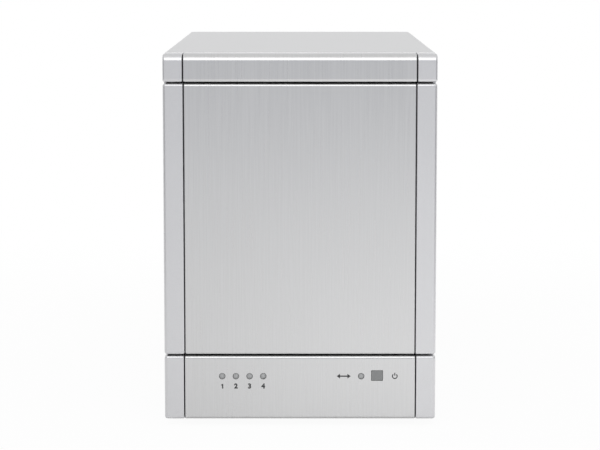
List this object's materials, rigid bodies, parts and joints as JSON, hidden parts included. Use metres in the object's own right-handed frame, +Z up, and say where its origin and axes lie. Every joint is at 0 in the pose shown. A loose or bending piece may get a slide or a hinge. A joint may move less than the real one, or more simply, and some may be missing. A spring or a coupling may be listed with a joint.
{
  "type": "hard drive array enclosure",
  "caption": "Silver desktop tower for 3.5 inch hard drives: hinged brushed door over sliding trays, control panel with lamps and power button, rear fan.",
  "frame": {"origin": "centre of the footprint on the floor", "axes": "+Z up, front towards -Y, +X to the right as seen from the front"},
  "size_m": [0.132, 0.2674, 0.1816],
  "materials": {
    "brushed_aluminium": "brushed",
    "silver_moulding": "satin silver",
    "black_moulding": "matt",
    "grey_moulding": "matt",
    "zinc_sheet": "zinc plated",
    "painted_sheet": "satin grey",
    "bright_wire": "polished",
    "screw_steel": "zinc plated",
    "cast_aluminium": "as cast",
    "circuit_board": "satin",
    "led_lens": "clear diffused",
    "rubber": "matt",
    "brass": "plated",
    "magnet": "nickel plated"
  },
  "bodies": {
    "case": {"top_bar": "brushed_aluminium", "top_corner_left": "silver_moulding", "top_corner_right": "silver_moulding", "bottom_corner_left": "silver_moulding", "bottom_corner_right": "silver_moulding", "hinge_pins": "screw_steel", "door_magnets": "magnet", "control_panel": "brushed_aluminium", "indicator_leds": "led_lens", "panel_board": "circuit_board", "power_switch": "black_moulding", "drive_screws": "screw_steel", "lever_pins": "screw_steel", "tray_frame_1": "black_moulding", "tray_lever_1": "black_moulding", "hard_drive_1": "cast_aluminium", "tray_frame_2": "black_moulding", "tray_lever_2": "black_moulding", "hard_drive_2": "cast_aluminium", "tray_frame_3": "black_moulding", "tray_lever_3": "black_moulding", "hard_drive_3": "cast_aluminium", "tray_frame_4": "black_moulding", "tray_lever_4": "black_moulding", "hard_drive_4": "cast_aluminium", "backplane_board": "circuit_board", "backplane_connectors": "black_moulding", "backplane_screws": "screw_steel", "controller_board": "circuit_board", "usb_socket": "zinc_sheet", "esata_socket": "black_moulding", "front_bezel": "black_moulding", "outer_cover": "brushed_aluminium", "base_pan": "zinc_sheet", "feet": "rubber", "foot_screws": "screw_steel", "drive_cage": "zinc_sheet", "guide_rails": "black_moulding", "rear_panel": "painted_sheet", "fan_frame": "black_moulding", "fan_guard": "bright_wire", "fan_screws": "screw_steel", "power_supply": "zinc_sheet", "mains_inlet": "black_moulding", "inlet_pins": "brass", "switch_housing": "black_moulding", "rear_screws": "screw_steel"},
    "door": {"door_panel": "brushed_aluminium", "door_pillar_left": "silver_moulding", "door_pillar_right": "silver_moulding", "door_inner_frame": "black_moulding", "hinge_bushes": "black_moulding", "door_strikes": "screw_steel"},
    "power_button": {"power_button": "grey_moulding"},
    "fan_rotor": {"fan_rotor": "black_moulding"},
    "rocker": {"switch_rocker": "black_moulding"},
    "release_1": {"tray_button_1": "grey_moulding"},
    "release_2": {"tray_button_2": "grey_moulding"},
    "release_3": {"tray_button_3": "grey_moulding"},
    "release_4": {"tray_button_4": "grey_moulding"}
  },
  "joints": [
    {"name": "door_hinge", "type": "hinge", "parent": "case", "child": "door", "pos_m": [-0.0612, -0.12862, 0.10111], "axis": [0, 0, -1], "range_deg": [0, 115]},
    {"name": "power_press", "type": "slide", "parent": "case", "child": "power_button", "axis": [0, 1, 0], "range_m": [0, 0.001], "stiffness_N_per_m": 1000},
    {"name": "release_1_press", "type": "slide", "parent": "case", "child": "release_1", "axis": [0, 1, 0], "range_m": [0, 0.0015], "stiffness_N_per_m": 800},
    {"name": "release_2_press", "type": "slide", "parent": "case", "child": "release_2", "axis": [0, 1, 0], "range_m": [0, 0.0015], "stiffness_N_per_m": 800},
    {"name": "release_3_press", "type": "slide", "parent": "case", "child": "release_3", "axis": [0, 1, 0], "range_m": [0, 0.0015], "stiffness_N_per_m": 800},
    {"name": "release_4_press", "type": "slide", "parent": "case", "child": "release_4", "axis": [0, 1, 0], "range_m": [0, 0.0015], "stiffness_N_per_m": 800},
    {"name": "fan_spin", "type": "hinge", "parent": "case", "child": "fan_rotor", "pos_m": [-0.015, 0.11622, 0.107], "axis": [0, 1, 0], "continuous": true},
    {"name": "rocker_tilt", "type": "hinge", "parent": "case", "child": "rocker", "pos_m": [0.01, 0.12943, 0.0198], "axis": [0, 0, 1], "range_deg": [0, 18]}
  ]
}
